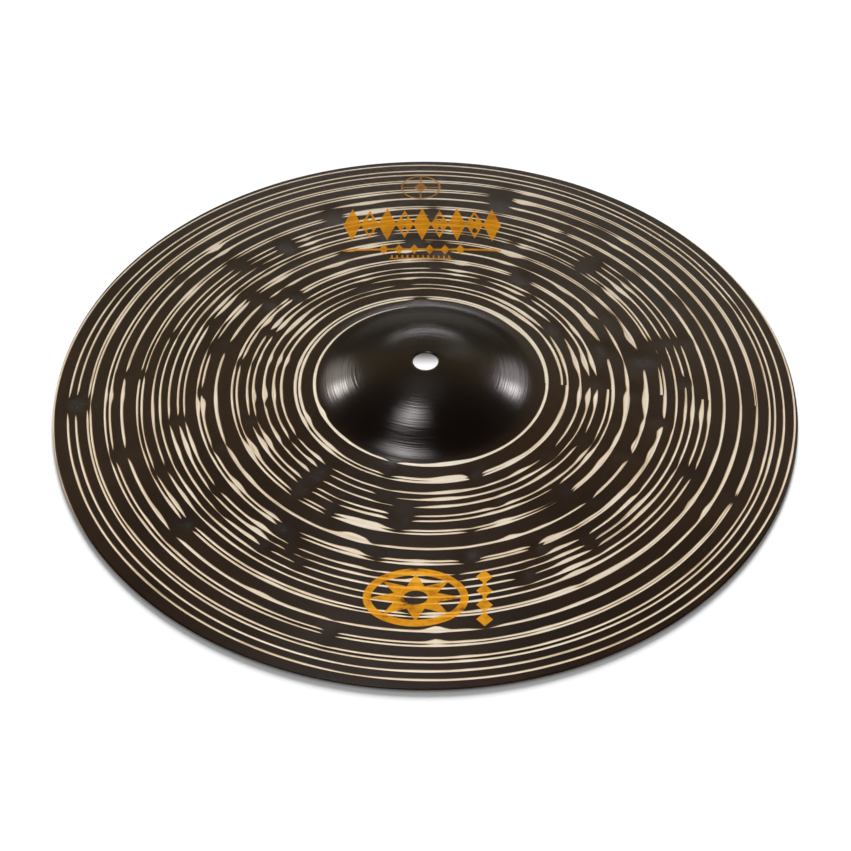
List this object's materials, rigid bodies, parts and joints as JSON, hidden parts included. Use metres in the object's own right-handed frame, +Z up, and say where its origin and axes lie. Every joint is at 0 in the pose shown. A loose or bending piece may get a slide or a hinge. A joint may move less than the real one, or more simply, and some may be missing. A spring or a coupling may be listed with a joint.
{
  "type": "crash cymbal",
  "caption": "Round bronze crash cymbal with raised bell, centre hole, hammered and spirally lathed dark bow, thin edge and printed ornament.",
  "frame": {"origin": "on the spin axis, in the plane that the rim rests on", "axes": "+Z up along the spin axis through the centre hole, from the open underside to the bell; -Y towards the front emblem, +Y towards the rear ribbon print"},
  "size_m": [0.4064, 0.4064, 0.0381],
  "materials": {
    "dark_bronze": "dark patinated bronze, satin, with bare polished lathe cuts on the bow and a glossy bell",
    "gold_ink": "satin screen-printed ink, golden orange, slightly see-through",
    "pale_ink": "satin screen-printed ink, faint tan"
  },
  "bodies": {
    "root": {"cymbal": "dark_bronze", "front_emblem_print": "gold_ink", "front_side_mark_print": "gold_ink", "rear_ribbon_print": "gold_ink", "rear_rule_print": "gold_ink", "rear_scale_print": "gold_ink", "rear_stamp_print": "pale_ink"}
  },
  "joints": []
}
